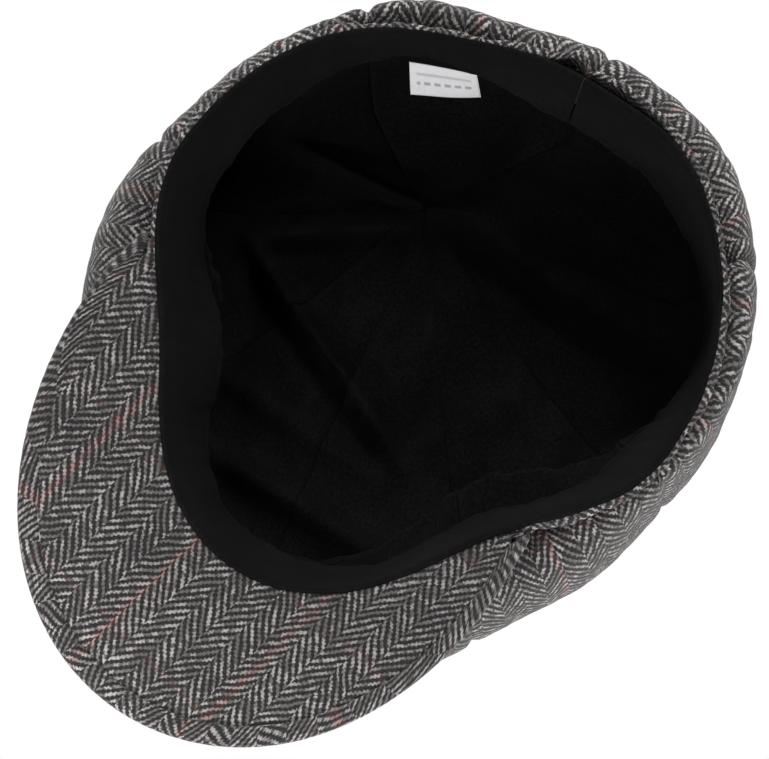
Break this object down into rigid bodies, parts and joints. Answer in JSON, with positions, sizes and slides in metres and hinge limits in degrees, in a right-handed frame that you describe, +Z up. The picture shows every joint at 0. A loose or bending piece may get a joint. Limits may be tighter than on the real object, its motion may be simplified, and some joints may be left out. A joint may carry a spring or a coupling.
{
  "type": "newsboy cap",
  "caption": "Soft herringbone tweed newsboy cap with eight-gore crown, headband, stiff visor, black lining and a small flap label.",
  "frame": {"origin": "centre of the head opening, in the plane of the band's lower edge at the back, on which the cap stands", "axes": "+Z up through the crown as worn, -Y towards the visor, +X towards the wearer's left"},
  "size_m": [0.2052, 0.2674, 0.1106],
  "materials": {
    "tweed": "woolly grey, black and white herringbone with fine rust overcheck lines",
    "lining": "soft black cotton, plain weave",
    "sweatband": "black cotton strip, slightly worn, edge stitched",
    "elastic": "brown-black woven elastic tape",
    "visor_board": "plain white stiffener board",
    "button_metal": "pressed and tinned",
    "label": "white satin with plain pale bars"
  },
  "bodies": {
    "cap": {"crown_panel_1": "tweed", "crown_panel_2": "tweed", "crown_panel_3": "tweed", "crown_panel_4": "tweed", "crown_panel_5": "tweed", "crown_panel_6": "tweed", "crown_panel_7": "tweed", "crown_panel_8": "tweed", "headband": "tweed", "visor_upper_cover": "tweed", "visor_lower_cover": "tweed", "button_cover": "tweed", "lining_panel_1": "lining", "lining_panel_2": "lining", "lining_panel_3": "lining", "lining_panel_4": "lining", "lining_panel_5": "lining", "lining_panel_6": "lining", "lining_panel_7": "lining", "lining_panel_8": "lining", "sweatband": "sweatband", "back_elastic": "elastic", "visor_board": "visor_board", "button_shell": "button_metal", "button_back": "button_metal"},
    "label": {"care_label": "label"}
  },
  "joints": [
    {"name": "label_flap", "type": "hinge", "parent": "cap", "child": "label", "pos_m": [0.04411, 0.07561, 0.0328], "axis": [0.9476, -0.3194, 0], "range_deg": [-15, 150]}
  ]
}
